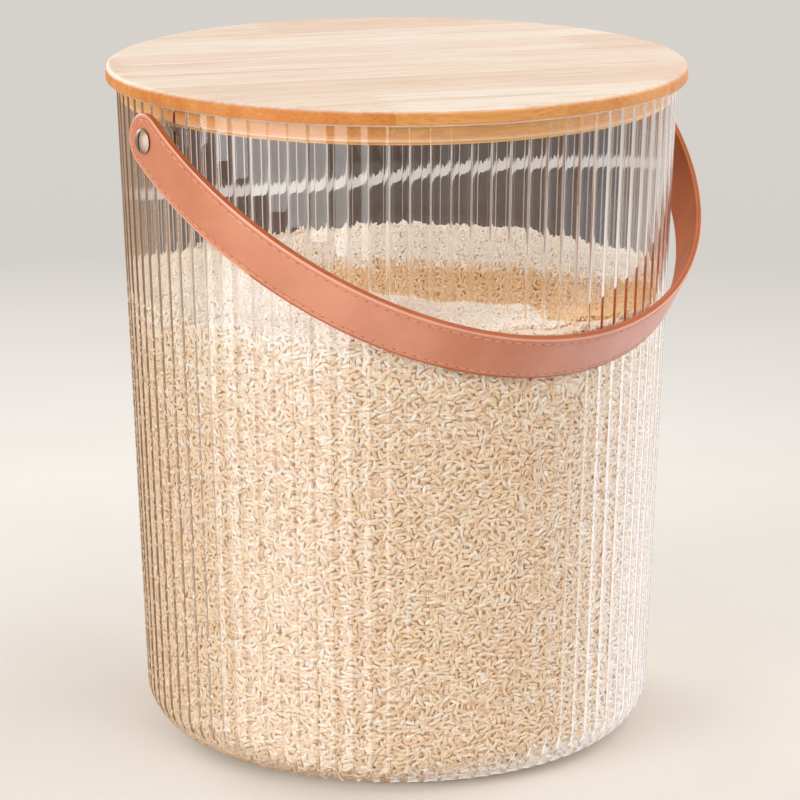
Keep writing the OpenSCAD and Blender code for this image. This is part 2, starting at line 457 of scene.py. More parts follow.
def wood(name, pale, warm, seed):
    """A glued stave: long soft figure, fine fibres and pores, finger-jointed blocks, a warmer edge, and a
    paler plug side below the rim as painted light.
    """
    material, g = new_material(name)
    along = g.node("ShaderNodeMapping", {"Vector": g.object_place(), "Rotation": (0, 0, -STAVE_TURN)})
    shifted = g.vector("ADD", along, (0.37 * seed, 0.11 * seed, 0.05 * seed))

    def figure_noise(stretch, scale, **settings):
        return g.noise(g.vector("MULTIPLY", shifted, stretch), scale, **settings)

    figure = figure_noise((0.9, 14, 14), 5.5, detail=5, roughness=0.55, distortion=0.35)
    fibre = figure_noise((0.03, 1, 1), 900, detail=3, roughness=0.6)
    pores = figure_noise((0.07, 1, 1), 1500, detail=1)
    streaks = figure_noise((0.5, 16, 16), 11, detail=4, roughness=0.6, distortion=0.5)
    parts = g.split(along)
    fingers = g.math("MULTIPLY", g.math("PINGPONG", parts["Y"], FINGER_W), FINGER_SLOPE)
    reach = g.math("ADD", g.math("ADD", parts["X"], fingers), BLOCK_START + BLOCK_STAGGER * seed)
    block = g.math("FLOOR", g.math("DIVIDE", reach, BLOCK_L))
    block_tone = g.node("ShaderNodeTexWhiteNoise", {"W": g.math("ADD", block, 17.0 * seed)}, "Value",
                        noise_dimensions="1D")
    tone = g.math("ADD", g.math("MULTIPLY", figure, 1.25), g.math("MULTIPLY", block_tone, 0.40))
    tone = g.math("SUBTRACT", tone, 0.30, clamp=True)
    top = g.ramp(tone, (0.12, pale), (0.62, warm))
    top = g.mix(g.math("MULTIPLY", g.fade(streaks, 0.55, 0.68), 0.42), top, srgb(218, 178, 144))
    rim = g.ramp(tone, (0.10, srgb(236, 172, 101)), (0.65, srgb(213, 133, 60)))
    # Painted light: the plug's side below the rim is paler and brighter than the rim's side, to make up for
    # the shade under the rim.
    lit_plug = g.ramp(tone, (0.10, srgb(255, 214, 152)), (0.65, srgb(250, 184, 108)))
    is_plug = g.math("LESS_THAN", g.split(g.object_place())["Z"], PLUG_TOP)
    level = g.math("ABSOLUTE", g.split(g.add("ShaderNodeTexCoord").outputs["Normal"])["Z"])
    is_side = g.ramp(level, (0.35, grey(1)), (0.85, grey(0)))
    colour = g.mix(is_side, top, g.mix(is_plug, rim, lit_plug))
    fibre_mark = g.ramp(fibre, (0.30, srgb(214, 186, 150)), (0.62, grey(1)))
    pore_mark = g.ramp(pores, (0.24, srgb(190, 150, 110)), (0.36, grey(1)))
    for share, mark in ((0.45, fibre_mark), (0.5, pore_mark)):
        colour = g.mix(share, colour, g.mix(1.0, colour, mark, blend="MULTIPLY"))
    normal = g.bump(fibre, 0.00012, strength=0.35)
    normal = g.bump(pores, 0.0001, strength=0.25, normal=normal)
    g.finish(g.principled(Base_Color=colour, Roughness=0.5, Specular_IOR_Level=0.35, Normal=normal))
    return material


def speckled(name, light, deep, scale, detail, strength, **finish):
    """A material of two tones in fine specks, which are also its unevenness."""
    material, g = new_material(name)
    specks = g.noise(g.object_place(), scale, detail=detail)
    normal = g.bump(specks, 0.0001, strength=strength)
    g.finish(g.principled(Base_Color=g.mix(specks, light, deep), Normal=normal, **finish))
    return material


def silicone(name, light, deep):
    return speckled(name, light, deep, 260, 3, 0.2, Roughness=0.45, Subsurface_Weight=0.25,
                    Subsurface_Scale=0.002)


def leather(name, light, deep, grain_scale, depth, gloss, specular):
    """Leather with pebbled grain, creases and slow changes of tone."""
    material, g = new_material(name)
    place = g.object_place()
    pebbles = g.node("ShaderNodeTexVoronoi", {"Vector": place, "Scale": grain_scale}, "Distance")
    creases = g.noise(place, grain_scale * 0.45, detail=4, roughness=0.6)
    tone = g.noise(place, 42, detail=4, roughness=0.55)
    shade = g.ramp(tone, (0.30, deep), (0.70, light))
    shade = g.mix(g.math("MULTIPLY", pebbles, 0.35, clamp=True), shade, deep)
    normal = g.bump(pebbles, depth, strength=0.55)
    normal = g.bump(creases, depth * 1.5, strength=0.5, normal=normal)
    rough = g.math("ADD", g.math("MULTIPLY", creases, 0.14), gloss)
    g.finish(g.principled(Base_Color=shade, Roughness=rough, Specular_IOR_Level=specular,
                          Sheen_Weight=0.08, Sheen_Roughness=0.4, Normal=normal))
    return material


def thread():
    return speckled("thread", srgb(234, 172, 140), srgb(217, 151, 119), 3200, 1, 0.4, Roughness=0.6,
                    Sheen_Weight=0.2)


def steel():
    """Steel with fine turning marks round the strap's pivot, and smudges."""
    material, g = new_material("steel")
    place = g.object_place()
    across = g.vector("MULTIPLY", g.vector("SUBTRACT", place, (0, 0, PIVOT_Z)), (0, 1, 1))
    radius = g.vector("LENGTH", across, output="Value")
    rings = g.math("SINE", g.math("MULTIPLY", radius, 9000))
    smudge = g.noise(place, 300, detail=3)
    shade = g.mix(smudge, srgb(158, 142, 128), srgb(134, 120, 108))
    rough = g.math("ADD", g.math("MULTIPLY", smudge, 0.2), 0.42)
    g.finish(g.principled(Base_Color=shade, Metallic=1.0, Roughness=rough,
                          Normal=g.bump(rings, 0.00002, strength=0.3)))
    return material


def nylon():
    return speckled("nylon", srgb(226, 220, 210), srgb(204, 196, 184), 900, 3, 0.2, Roughness=0.5)


# ---------------- drum

def wall_r(z, inset=0.0):
    """Outside radius of the drum's straight wall, or the radius of the same wall after an inset."""
    return DRUM_BASE_R + z * math.tan(LEAN) - inset / math.cos(LEAN)


def meridian(inset, top, corner_steps, wall_steps):
    """(radius, height, outward r, outward z) along the drum's half outline, from the floor to a height."""
    corner_x = wall_r(CORNER_R, CORNER_R)
    bend_r = CORNER_R - inset
    line = []
    for i in range(corner_steps + 1):
        angle = -math.pi / 2 + (math.pi / 2 - LEAN) * i / corner_steps
        line.append((corner_x + bend_r * math.cos(angle), CORNER_R + bend_r * math.sin(angle),
                     math.cos(angle), math.sin(angle)))
    low_z = line[-1][1]
    support = 0.5 * MM
    heights = [low_z + support]
    heights += [low_z + (top - low_z) * i / wall_steps for i in range(1, wall_steps)]
    heights += [top - support, top]
    for z in heights:
        line.append((wall_r(z, inset), z, math.cos(LEAN), -math.sin(LEAN)))
    return line


def rib_columns():
    """Angles of the drum's mesh columns, and how deep the flutes and the gaps between ridges are at each."""
    half_ridge = (0.0, 0.3, 0.62, 1.0)
    flute = (0.20, 0.35, 0.5)
    shares = [RIDGE_SHARE * t for t in half_ridge] + list(flute)
    shares = np.array(shares + [1 - t for t in reversed(shares[1:-1])])
    from_ridge = np.minimum(shares, 1 - shares)
    bulge = np.cos(math.pi / 2 * np.minimum(from_ridge / RIDGE_SHARE, 1)) ** 2
    angles = RIB_TURN + 2 * math.pi * (np.arange(RIB_COUNT)[:, None] + shares).ravel() / RIB_COUNT
    flutes = np.tile(FLUTE_DEPTH * (1 - (1 - 2 * from_ridge) ** 2), RIB_COUNT)
    ridges = np.tile(RIDGE_H * (1 - bulge), RIB_COUNT)
    return angles, flutes, ridges


def drum(material):
    """The clear drum as one closed shell, fluted on both sides, with ridges outside and round the corner."""
    angles, flutes, ridges = rib_columns()
    outer, inner = flutes + ridges, INNER_SHARE * flutes
    rings = []

    def ring(radius, z, out_r=0.0, out_z=0.0, depths=0.0):
        rings.append(ring_points(radius - depths * out_r, angles, z - depths * out_z))

    floor_r = wall_r(CORNER_R, CORNER_R)
    for share in FLOOR_SHARES:
        ring(floor_r * share, 0.0)
    outer_steps, inner_steps = 16, 12
    for i, (r, z, out_r, out_z) in enumerate(meridian(0.0, DRUM_H - LIP_R, outer_steps, 10)):
        ring(r, z, out_r, out_z, outer * min(1.0, (i / outer_steps) * 4))
    for angle in (30, 60, 90):
        turn = math.radians(angle)
        ring(wall_r(DRUM_H) - LIP_R * (1 - math.cos(turn)), DRUM_H - LIP_R * (1 - math.sin(turn)), 1.0, 0.0,
             outer * (1.0 - 0.3 * angle / 90))
    inner_line = meridian(INNER_INSET, DRUM_H, inner_steps, 8)
    for i, (r, z, out_r, out_z) in reversed(list(enumerate(inner_line))):
        ring(r, z, out_r, out_z, inner * min(1.0, (i / inner_steps) * 2))
    for share in reversed(FLOOR_SHARES):
        ring(floor_r * share, INNER_INSET)
    piece = add_object("drum_shell", stacked_mesh("drum_shell", rings, 0, INNER_INSET), [material])
    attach(piece, "bin")
    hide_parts("drum")


# ---------------- rice

def from_axis(x, y):
    """A place on the rice as distances from the axis: to the photograph's right, and away from it."""
    return x * RIGHT_X + y * RIGHT_Y, -x * RIGHT_Y + y * RIGHT_X


def swell(right, away, middle_right, middle_away, half_right, half_away):
    """1 in the middle of a patch, fading over its half size."""
    return np.exp(-((right - middle_right) / half_right) ** 2 - ((away - middle_away) / half_away) ** 2)


def hollow_depth(x, y):
    """How deep the scooped hollow in the rice is at a place, from 0 to 1."""
    right, away = from_axis(x, y)
    return swell(right, away + HOLLOW_SLANT * (right - SLANT_RIGHT), *HOLLOW)


def hollow_painted_shade(x, y):
    """Painted shade on the rice's surface, as tan grains: in the hollow, and from it to the wall at the
    right.
    """
    return hollow_depth(x, y) + swell(*from_axis(x, y), *PAINTED_SHADE_PATCH)


def rice_top(x, y):
    """Height of the rice's surface: level at the wall, with a scooped hollow and small waves."""
    waves = 0.0009 * np.sin(x * 95 + 1.0) * np.sin(y * 80 + 0.4) + 0.0006 * np.sin(x * 210 - y * 160)
    return RICE_LEVEL - HOLLOW_DEPTH * hollow_depth(x, y) + waves


def grain_template():
    """One grain along X, of unit length, width and thickness, as points and triangles."""
    sides, stations = 6, (-0.40, -0.17, 0.17, 0.40)
    points = [(-0.5, 0, 0)]
    for station in stations:
        girth = 0.5 * (1 - (2 * station) ** 2) ** 0.42
        points += [(station, girth * cos, girth * sin) for cos, sin in circle(sides)]
    points.append((0.5, 0, 0))
    last = 1 + (len(stations) - 1) * sides
    faces = []
    for i, j in around(sides):
        faces.append((0, 1 + j, 1 + i))
        for a in range(1, last, sides):
            b = a + sides
            faces.append((a + i, a + j, b + j))
            faces.append((a + i, b + j, b + i))
        faces.append((last + i, last + j, len(points) - 1))
    return np.array(points), np.array(faces)


def unit(vectors):
    return vectors / np.linalg.norm(vectors, axis=1, keepdims=True)


def grain_frames(rng, normals, level_bias, tilt):
    """Random grain directions: mostly lying in the surface, nearer level where level_bias is high."""
    count = len(normals)
    up = np.where(np.abs(normals[:, 2:3]) > 0.9, [[1.0, 0.0, 0.0]], [[0.0, 0.0, 1.0]])
    level = unit(np.cross(up, normals))
    rise = unit(np.cross(normals, level))
    spin = rng.uniform(-math.pi / 2, math.pi / 2, count)
    sign, steepness = np.sign(spin), np.abs(spin) / (math.pi / 2)
    spin = spin * (1 - level_bias) + level_bias * sign * steepness ** 2 * math.pi / 2
    along = level * np.cos(spin)[:, None] + rise * np.sin(spin)[:, None]
    lean = rng.normal(0, tilt, count)
    along = unit(along * np.cos(lean)[:, None] + normals * np.sin(lean)[:, None])
    across = unit(np.cross(normals, along))
    return along, across, np.cross(along, across)


def jitter(rng, count):
    return rng.uniform(-SITE_JITTER, SITE_JITTER, count)


def wall_sites(rng, depth):
    """Places of grains that lie on the drum's inner wall and in its corner, at a depth under it."""
    inset = WALL_T + RICE_GAP + depth
    line = meridian(inset, RICE_LEVEL + 2 * MM, 12, 60)
    lengths = [0.0]
    for a, b in zip(line, line[1:]):
        lengths.append(lengths[-1] + math.hypot(b[0] - a[0], b[1] - a[1]))
    line = np.array(line)
    sites, normals = [], []
    row_step = GRAIN_SPACING * ROW_SHARE
    for row in range(int(lengths[-1] / row_step)):
        s = row * row_step
        radius = np.interp(s, lengths, line[:, 0])
        count = int(2 * math.pi * radius / GRAIN_SPACING)
        theta = 2 * math.pi * (np.arange(count) + 0.5 * (row % 2) + jitter(rng, count)) / count
        at = s + jitter(rng, count) * row_step
        r, z, out_r, out_z = (np.interp(at, lengths, line[:, k]) for k in range(4))
        sink = rng.uniform(0, 0.5 * MM, count)
        sites.append(ring_points(r - sink * out_r, theta, z - sink * out_z))
        normals.append(ring_points(out_r, theta, out_z))
    sites, normals = np.concatenate(sites), np.concatenate(normals)
    keep = sites[:, 2] < rice_top(sites[:, 0], sites[:, 1]) - 0.6 * MM
    return sites[keep], unit(normals[keep])


def disc_sites(rng, radius, height, spacing):
    """Jittered places over a disc, at the height that a function gives."""
    reach = int(radius / spacing) + 2
    i, j = np.meshgrid(np.arange(-reach, reach + 1), np.arange(-reach, reach + 1))
    x = (i + 0.5 * (j % 2)).ravel() * spacing
    y = j.ravel() * spacing * ROW_SHARE
    x = x + jitter(rng, len(x)) * spacing
    y = y + jitter(rng, len(y)) * spacing
    keep = np.hypot(x, y) < radius
    x, y = x[keep], y[keep]
    return np.stack([x, y, height(x, y)], axis=1)


def top_normals(sites):
    step = 1 * MM
    x, y = sites[:, 0], sites[:, 1]
    slope_x = (rice_top(x + step, y) - rice_top(x - step, y)) / (2 * step)
    slope_y = (rice_top(x, y + step) - rice_top(x, y - step)) / (2 * step)
    return unit(np.stack([-slope_x, -slope_y, np.ones(len(x))], axis=1))


def keep_inside(points):
    """Moves points in to the drum's inner wall where a grain's end would reach through it."""
    x, y, z = points[..., 0], points[..., 1], points[..., 2]
    bend = CORNER_R - GRAIN_LIMIT
    below = np.clip(CORNER_R - z, 0, bend)
    in_corner = wall_r(CORNER_R, CORNER_R) + np.sqrt(np.maximum(bend ** 2 - below ** 2, 0))
    limit = wall_r(z, GRAIN_LIMIT)
    limit = np.where(z < CORNER_R, np.minimum(limit, in_corner), limit)
    share = np.minimum(1, limit / np.maximum(np.hypot(x, y), 1e-6))
    return np.stack([x * share, y * share, np.maximum(z, GRAIN_LIMIT)], axis=-1)


def grain_sites(rng):
    """Place, normal, level bias and tilt of every grain: by the wall, at the top and on the floor."""
    layers = [(*wall_sites(rng, depth), 0.35, 0.20) for depth in WALL_LAYERS]
    surface_r = wall_r(RICE_LEVEL, WALL_T + RICE_GAP + 1.2 * MM)
    for sink in TOP_LAYERS:
        found = disc_sites(rng, surface_r, lambda x, y: rice_top(x, y) - sink, GRAIN_SPACING * 0.97)
        layers.append((found, top_normals(found), 0.0, 0.30))
    floor_r = wall_r(CORNER_R, CORNER_R)
    found = disc_sites(rng, floor_r, lambda x, y: 0 * x + WALL_T + 0.2 * MM, GRAIN_SPACING * 1.1)
    layers.append((found, np.tile([[0.0, 0.0, -1.0]], (len(found), 1)), 0.0, 0.05))
    sites, normals, bias, tilt = zip(*layers)
    counts = [len(found) for found in sites]
    sites, normals = np.concatenate(sites), np.concatenate(normals)
    return sites, normals, np.repeat(bias, counts), np.repeat(tilt, counts)


def grain_tints(rng, sites, on_top):
    """Tint number of every grain: paler just below the top; on the top, tan grains as painted shade in the
    hollow and pale grains as painted light round it.
    """
    x, y, z = sites.T
    count = len(sites)
    tint = rng.choice(len(RICE_TINTS), count, p=[share for *_, share in RICE_TINTS])
    under = np.maximum(rice_top(x, y) - z, 0)
    # Grains just below the top are mostly pale, fewer of them the further down.
    paler_below_top = ~on_top & (rng.random(count) < 0.9 * np.exp(-under / PALE_BELOW_TOP_REACH))
    tint = np.where(paler_below_top, np.where(rng.random(count) < 0.1, WHITE, PALE), tint)
    # Painted shade: tan grains in the hollow and in the patch beside it.
    in_painted_shade = hollow_painted_shade(x, y) + rng.normal(0, 0.07, count) > PAINTED_SHADE_EDGE
    tint = np.where(on_top & in_painted_shade, rng.choice([GOLD, HUSK, AMBER], count, p=[0.3, 0.2, 0.5]), tint)
    # Painted light: the rest of the rice's top is laid with pale and white grains.
    return np.where(on_top & ~in_painted_shade, rng.choice([CREAM, PALE, WHITE], count, p=[0.05, 0.25, 0.7]), tint)


def grain_pieces(materials):
    """All loose grains, joined into pieces of one tint and one sector each."""
    rng = np.random.default_rng(RICE_SEED)
    sites, normals, bias, tilt = grain_sites(rng)
    axes = grain_frames(rng, normals, bias, tilt)
    sizes = rng.normal(1.0, 0.08, (len(sites), 3)).clip(0.78, 1.22) * [GRAIN_L, GRAIN_W, GRAIN_T]
    tint = grain_tints(rng, sites, normals[:, 2] > 0.7)
    turn_share = np.arctan2(sites[:, 1], sites[:, 0]) / (2 * math.pi) + 0.5
    sector = (turn_share * len(SECTORS)).astype(int).clip(0, len(SECTORS) - 1)
    template, faces = grain_template()
    for t, material in enumerate(materials):
        for s, letter in enumerate(SECTORS):
            chosen = np.where((tint == t) & (sector == s))[0]
            parts = len(chosen) * len(faces) // PIECE_FACES + 1
            for part, batch in enumerate(np.array_split(chosen, parts)):
                points = sites[batch, None, :]
                for k, axis in enumerate(axes):
                    reach = sizes[batch, k:k + 1] * axis[batch]
                    points = points + template[None, :, k:k + 1] * reach[:, None, :]
                points = keep_inside(points).reshape(-1, 3)
                starts = np.arange(len(batch)) * len(template)
                all_faces = (faces[None] + starts[:, None, None]).reshape(-1, 3)
                name = f"rice_grains_{t + 1}{letter}{part + 1}"
                piece = add_object(name, mesh_from_arrays(name, points, all_faces), [material])
                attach(piece, "bin")
                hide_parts("rice_fill")


def rice_bed(material):
    """The closed body of rice behind the loose grains."""
    line = meridian(WALL_T + RICE_GAP + BED_DEPTH, RICE_LEVEL - BED_DEPTH, 10, 24)
    angles = 2 * math.pi * np.arange(BED_COLUMNS) / BED_COLUMNS
    floor_r, floor_z, top_r = wall_r(CORNER_R, CORNER_R), line[0][1], line[-1][0]
    rings = [ring_points(floor_r * share, angles, floor_z) for share in (0.4, 0.8)]
    rings += [ring_points(r, angles, z) for r, z, _, _ in line]
    for share in np.linspace(0.97, 0.03, 28):
        x, y = top_r * share * np.cos(angles), top_r * share * np.sin(angles)
        rings.append(np.stack([x, y, rice_top(x, y) - BED_DEPTH], axis=1))
    mesh = stacked_mesh("rice_bed", rings, floor_z, rice_top(0.0, 0.0) - BED_DEPTH)
    piece = add_object("rice_bed", mesh, [material])
    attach(piece, "bin")
    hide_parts("rice_fill")


def rice():
    tints = [rice_tint(f"rice_{name}", srgb(*colour), srgb(*dark)) for name, colour, dark, _ in RICE_TINTS]
    rice_bed(rice_tint("rice_shade", srgb(235, 200, 164), srgb(217, 178, 140), srgb(250, 234, 214)))
    grain_pieces(tints)


# ---------------- strap

class Bow:
    """The strap's bent centre line, measured along its outer face from one round end to the other."""

    def __init__(self):
        steps = 2400
        a = np.linspace(math.pi, 0, steps)
        self.x = STRAP_HALF_W * np.cos(a)
        self.y = -STRAP_REACH * np.sin(a)
        out = np.stack([np.cos(a) / STRAP_HALF_W, -np.sin(a) / STRAP_REACH], axis=1)
        self.out = out / np.linalg.norm(out, axis=1, keepdims=True)
        self.s = np.concatenate([[0], np.cumsum(np.hypot(np.diff(self.x), np.diff(self.y)))])
        self.length = float(self.s[-1])

    def place(self, s, w, depth):
        """World points for places along the bow, across the strap's width, and under its outer face."""
        s, w, depth = (np.asarray(v, float) for v in np.broadcast_arrays(s, w, depth))
        x, y, out_x, out_y = (np.interp(s, self.s, line) for line in (self.x, self.y, *self.out.T))
        past_end = np.maximum(0, np.maximum(-s, s - self.length))
        x, y = x - depth * out_x, y + past_end - depth * out_y
        turn_c, turn_s = math.cos(HANG_ANGLE), math.sin(HANG_ANGLE)
        return np.stack([x, y * turn_c - w * turn_s, y * turn_s + w * turn_c + PIVOT_Z], axis=-1)


def stadium(length, inset, long_steps, end_steps):
    """(s, w) round the strap's flat outline after an inset, counter-clockwise from the near end's top."""
    r = STRAP_W / 2 - inset
    loop = []
    for start, end, turn in ((0, length, math.pi / 2), (length, 0, -math.pi / 2)):
        for i in range(end_steps + 1):
            angle = turn + math.pi * i / end_steps
            loop.append((start + r * math.cos(angle), r * math.sin(angle)))
        side = loop[-1][1]
        loop += [(start + (end - start) * i / long_steps, side) for i in range(1, long_steps)]
    return loop


def strap_layer(name, bow, outline, materials, lip_rings, edge_rings, node):
    """One leather layer: rings of (inset, depth) from its outer middle over the edge to its inner middle.

    The materials are those of the face, the edge and the lip's painted highlight: the lip wears the
    highlight on its upper side and near the first end, and the edge's darker leather, as painted shade, on
    the rest."""
    long_steps, end_steps = 150, 20
    loops = [stadium(bow.length, inset, long_steps, end_steps) for inset, _ in outline]
    count = len(loops[0])
    points = []
    for loop, (_, depth) in zip(loops, outline):
        flat = np.array(loop)
        points.append(bow.place(flat[:, 0], flat[:, 1], depth))
    faces, zones = [], []
    for ring in range(len(outline) - 1):
        low, high = ring * count, (ring + 1) * count
        for i, j in around(count):
            faces.append((low + i, high + i, high + j, low + j))
            s, w = loops[ring][i]
            # Painted highlight on the lip's upper side and near the first end; painted shade with the edge's
            # darker leather on the rest of the lip.
            painted_highlight = ring in lip_rings and (w > 0 or s < LIP_HIGHLIGHT_END)
            zones.append(2 if painted_highlight else int(ring in edge_rings or ring in lip_rings))
    for ring, flip in ((0, False), (len(outline) - 1, True)):
        base = ring * count
        for face in zip_faces(count, long_steps, end_steps):
            corners = tuple(base + k for k in face)
            faces.append(tuple(reversed(corners)) if flip else corners)
            zones.append(0)
    mesh = mesh_from_lists(name, np.concatenate(points), faces)
    mesh.polygons.foreach_set("material_index", zones)
    piece = add_object(name, mesh, materials)
    cut(piece, pivot_bar())
    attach(piece, "strap")
    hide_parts(node)


def pivot_bar():
    """A round bar through the strap's pivot, which cuts the strap's screw holes."""
    outline = [(0, -HOLE_REACH), (HOLE_R, -HOLE_REACH), (HOLE_R, HOLE_REACH), (0, HOLE_REACH)]
    return linked("bar", on_pivot(turned_mesh("bar", outline, 48), 1))


def zip_faces(count, long_steps, end_steps):
    """Faces that close a narrow stadium loop from side to side."""
    def end_faces(start):
        for i in range(end_steps // 2):
            a, b = start + i, start + i + 1
            c, d = start + end_steps - i - 1, start + end_steps - i
            yield (a, b, c, d) if b != c else (a, b, d)

    faces = list(end_faces(0))
    for i in range(long_steps):
        low = end_steps + i
        faces.append(((count - i) % count, low, low + 1, (count - i - 1) % count))
    return faces + list(end_faces(end_steps + long_steps))


def face_outline():
    """(inset, depth) rings of the outer leather: flat, a seam groove, a creased border and a round edge."""
    return [
        (9.5 * MM, 0.0), (5.5 * MM, 0.0), (3.5 * MM, 0.0), (SEAM_INSET + 0.5 * MM, 0.04 * MM),
        (SEAM_INSET + 0.2 * MM, GROOVE), (SEAM_INSET - 0.2 * MM, GROOVE), (SEAM_INSET - 0.5 * MM, 0.04 * MM),
        (1.4 * MM, 0.0), (1.15 * MM, 0.10 * MM), (0.9 * MM, 0.0), (0.55 * MM, 0.02 * MM),
        (0.25 * MM, 0.12 * MM), (0.07 * MM, 0.32 * MM), (0.0, 0.60 * MM), (0.0, FACE_T - 0.25 * MM),
        (0.10 * MM, FACE_T - 0.05 * MM), (0.4 * MM, FACE_T), (5.0 * MM, FACE_T), (9.5 * MM, FACE_T),
    ]


def backing_outline():
    return [
        (9.5 * MM, FACE_T), (5.0 * MM, FACE_T), (0.4 * MM, FACE_T), (0.10 * MM, FACE_T + 0.05 * MM),
        (0.0, FACE_T + 0.25 * MM), (0.0, STRAP_T - 0.5 * MM), (0.12 * MM, STRAP_T - 0.18 * MM),
        (0.45 * MM, STRAP_T), (2.3 * MM, STRAP_T), (5.5 * MM, STRAP_T), (9.5 * MM, STRAP_T),
    ]


def stitch_route(bow, row):
    """(s, w) and heading of the stitches of one row: along the strap's side and round half of each end."""
    r = STRAP_W / 2 - SEAM_INSET
    quarter = math.pi / 2 * r
    total = quarter * 2 + bow.length
    count = int(total / STITCH_PITCH)
    route = []
    for i in range(count):
        at = (i + 0.5) * total / count - quarter
        straight = min(max(0, at), bow.length)
        angle = math.pi / 2 - (at - straight) / r
        spot = (straight + r * math.cos(angle), row * r * math.sin(angle))
        route.append((spot, (math.sin(angle), -row * math.cos(angle))))
    return route


def tube_faces(base, rings, sides):
    """Faces of a closed tube whose rings of points start at a base number."""
    faces = []
    for low in range(base, base + (rings - 1) * sides, sides):
        high = low + sides
        faces += [(low + i, high + i, high + j, low + j) for i, j in around(sides)]
    last = base + (rings - 1) * sides
    return faces + [tuple(range(base, base + sides)), tuple(range(last + sides - 1, last - 1, -1))]


def stitches(name, bow, row, materials, node):
    """One row of sewing: each stitch is a short arched tube that dives into the leather at both ends.

    A darker disc between each stitch and the next is painted shade for the needle holes."""
    sides, stations = 8, 9
    cos, sin = np.array(circle(sides)).T
    points, faces, zones = [], [], []

    def ring(stitch, ahead, side, depth):
        (s, w), (along_s, along_w) = stitch
        s = s + along_s * ahead - along_w * side
        w = w + along_w * ahead + along_s * side
        points.extend(bow.place(s, w, depth))

    for stitch in stitch_route(bow, row):
        base = len(points)
        for t in np.linspace(-1, 1, stations):
            rise = STITCH_RISE * (1 - t ** 4) - STITCH_DIVE * t ** 4
            girth = THREAD_R * (1 - 0.35 * abs(t) ** 3)
            ring(stitch, t * STITCH_L / 2, girth * cos, GROOVE - rise - girth * sin)
        faces += tube_faces(base, stations, sides)
        zones += [0] * (len(faces) - len(zones))
        base = len(points)
        # A darker disc between stitches: painted shade for the needle holes.
        for depth in NEEDLE_DEPTHS:
            ring(stitch, STITCH_PITCH / 2 + NEEDLE_R * cos, NEEDLE_R * sin, depth)
        faces += tube_faces(base, len(NEEDLE_DEPTHS), sides)
        zones += [1] * (len(faces) - len(zones))
    mesh = mesh_from_lists(name, points, faces)
    mesh.polygons.foreach_set("material_index", zones)
    piece = add_object(name, mesh, materials)
    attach(piece, "strap")
    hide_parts(node)


def strap():
    bow = Bow()
    face = leather("leather_face", srgb(219, 143, 108), srgb(202, 124, 90), 1300, 0.00012, 0.36, 0.6)
    back = leather("leather_back", srgb(180, 96, 40), srgb(156, 80, 30), 1500, 0.0001, 0.65, 0.12)
    edge = leather("leather_edge", srgb(194, 100, 45), srgb(170, 85, 36), 1800, 0.00006, 0.34, 0.5)
    # The lip's pale leather is a painted highlight along the rounded edge.
    lip_highlight = leather("leather_lip_highlight", srgb(238, 176, 148), srgb(226, 158, 130), 1800, 0.00006, 0.30, 0.7)
    strap_layer("strap_outer", bow, face_outline(), [face, edge, lip_highlight], range(8, 12), range(12, 18),
                "strap_face")
    strap_layer("strap_lining", bow, backing_outline(), [back, edge, edge], (), range(2, 6),
                "strap_backing")
    # Darker leather for the needle holes: painted shade.
    hole_shade = leather("needle_hole_shade", srgb(196, 112, 84), srgb(180, 98, 72), 2500, 0.00004, 0.7, 0.1)
    sewing = [thread(), hole_shade]
    stitches("stitches_upper", bow, 1, sewing, "strap_seam_upper")
    stitches("stitches_lower", bow, -1, sewing, "strap_seam_lower")


# ---------------- fittings

def screw(side, name, node, material):
    """A binding screw: a low head with a rounded rim and a driver slot, and a shank through the wall."""
    head_start = STRAP_HALF_W + SIDE_PLAY
    outline = [(0, SHANK_START), (SHANK_R - 0.3 * MM, SHANK_START), (SHANK_R, SHANK_START + 0.3 * MM),
               (SHANK_R, head_start), (HEAD_R - 0.25 * MM, head_start), (HEAD_R, head_start + 0.25 * MM)]
    crown_steps = 12
    for i in range(crown_steps + 1):
        t = i / crown_steps
        radius = HEAD_R * (1 - t)
        outline.append((radius, head_start + HEAD_EDGE + (HEAD_H - HEAD_EDGE) * (1 - (1 - t) ** 2.6)))
    piece = add_object(name, on_pivot(turned_mesh(name, outline, 64), side), [material])
    middle = Vector((side * (head_start + HEAD_H + 0.5 * MM), 0, PIVOT_Z))
    corners = [middle + Vector((x * SLOT_HALF[0], y * SLOT_HALF[1], z * SLOT_HALF[2]))
               for x in (-1, 1) for y in (-1, 1) for z in (-1, 1)]
    quads = [(0, 1, 3, 2), (4, 6, 7, 5), (0, 4, 5, 1), (2, 3, 7, 6), (0, 2, 6, 4), (1, 5, 7, 3)]
    cut(piece, linked("slot", mesh_from_lists("slot", corners, quads)))
    piece.data.set_sharp_from_angle(angle=math.radians(32))
    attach(piece, "bin")
    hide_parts(node)


def fittings():
    metal = steel()
    screw(-1, "screw_near", "screw_left", metal)
    screw(1, "screw_far", "screw_right", metal)
    dress(metal, "nut_left", "nut_right")
    dress(nylon(), "bush_left", "bush_right")
    dress(silicone("silicone", srgb(236, 230, 220), srgb(214, 206, 196)), "washer_left", "washer_right")
    dress(silicone("seal", srgb(252, 212, 168), srgb(240, 192, 144)), "lid_seal")


# ---------------- lid

def lid():
    """The six staves keep their CAD shape and wear wood whose tone changes from stave to stave."""
    creamy = srgb(250, 241, 231), srgb(242, 225, 208)
    rosy = srgb(249, 235, 224), srgb(236, 213, 193)
    for index in range(1, 7):
        pale, warm = creamy if index % 2 else rosy
        dress(wood(f"wood_stave_{index}", pale, warm, index), f"lid_stave_{index}")


# ---------------- stage, light and camera

